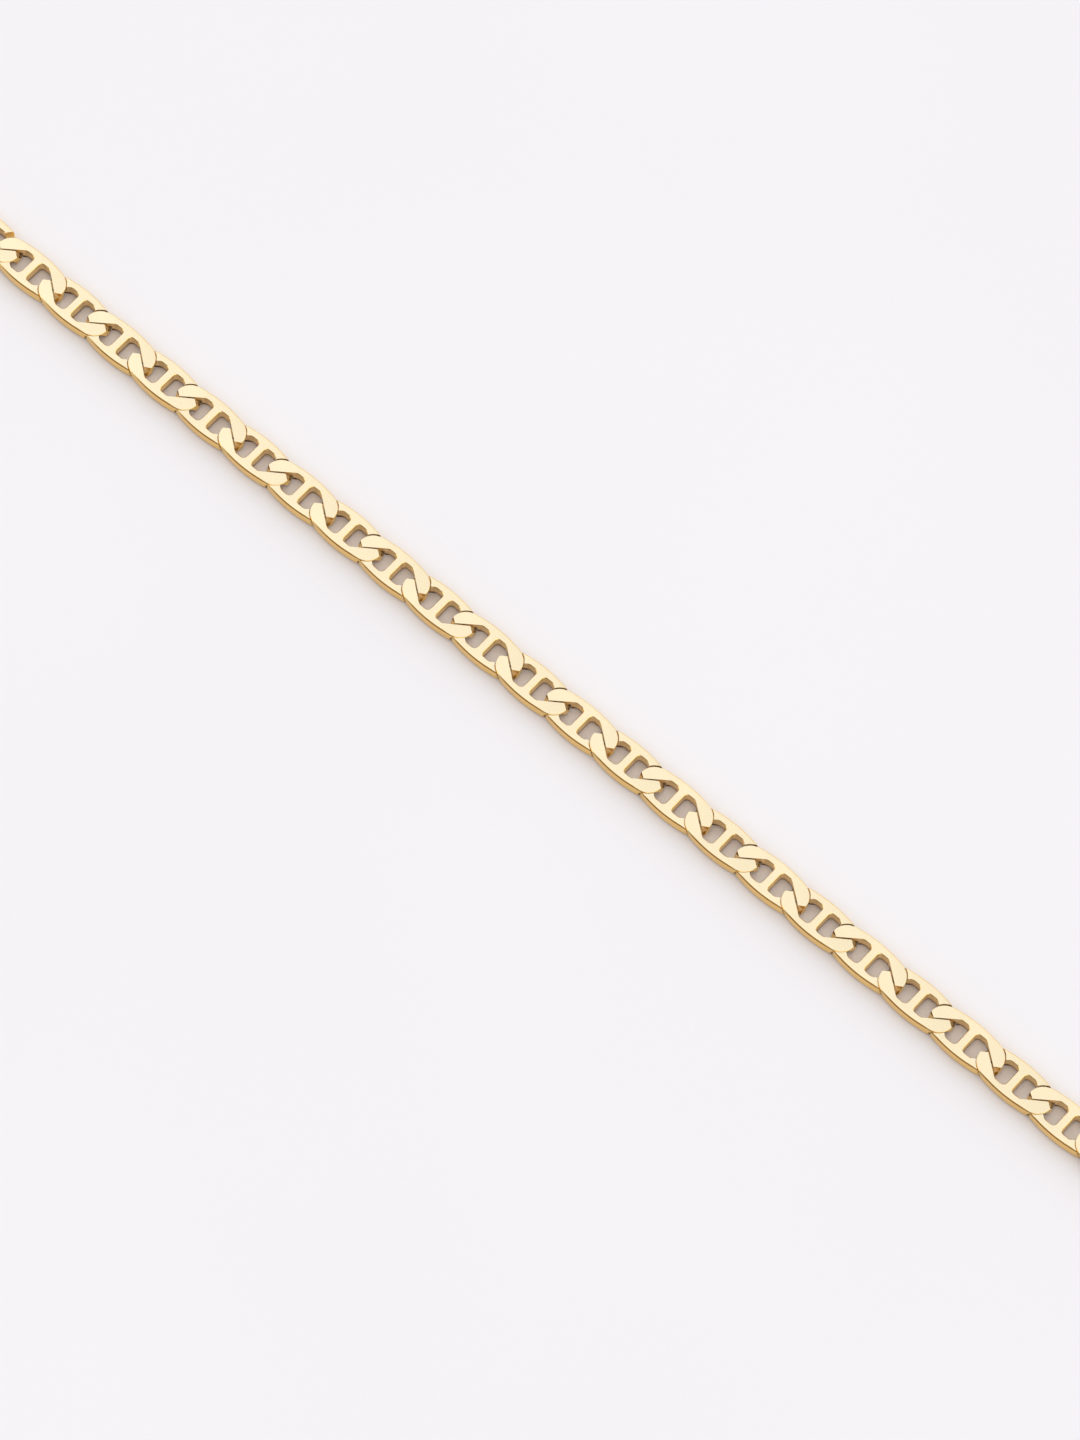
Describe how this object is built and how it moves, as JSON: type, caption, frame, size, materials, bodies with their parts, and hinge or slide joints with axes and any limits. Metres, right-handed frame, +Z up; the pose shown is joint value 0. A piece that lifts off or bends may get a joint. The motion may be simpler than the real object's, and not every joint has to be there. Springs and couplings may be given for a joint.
{
  "type": "mariner link chain",
  "caption": "Closed necklace loop of flat oval links, each with a cross bar and halved ends that lie over and under its neighbours, joined by one plain clasp.",
  "frame": {"origin": "middle of the loop, on the surface that the chain lies on", "axes": "+X along the straight front run, +Y from the front run towards the clasp, +Z up"},
  "size_m": [0.2066, 0.0924, 0.0022],
  "materials": {
    "polished_gold": "polished, with satin facets where the links meet",
    "clasp_gold": "polished"
  },
  "bodies": {
    "root": {"chain_right": "polished_gold", "chain_left": "polished_gold", "clasp": "clasp_gold"}
  },
  "joints": []
}
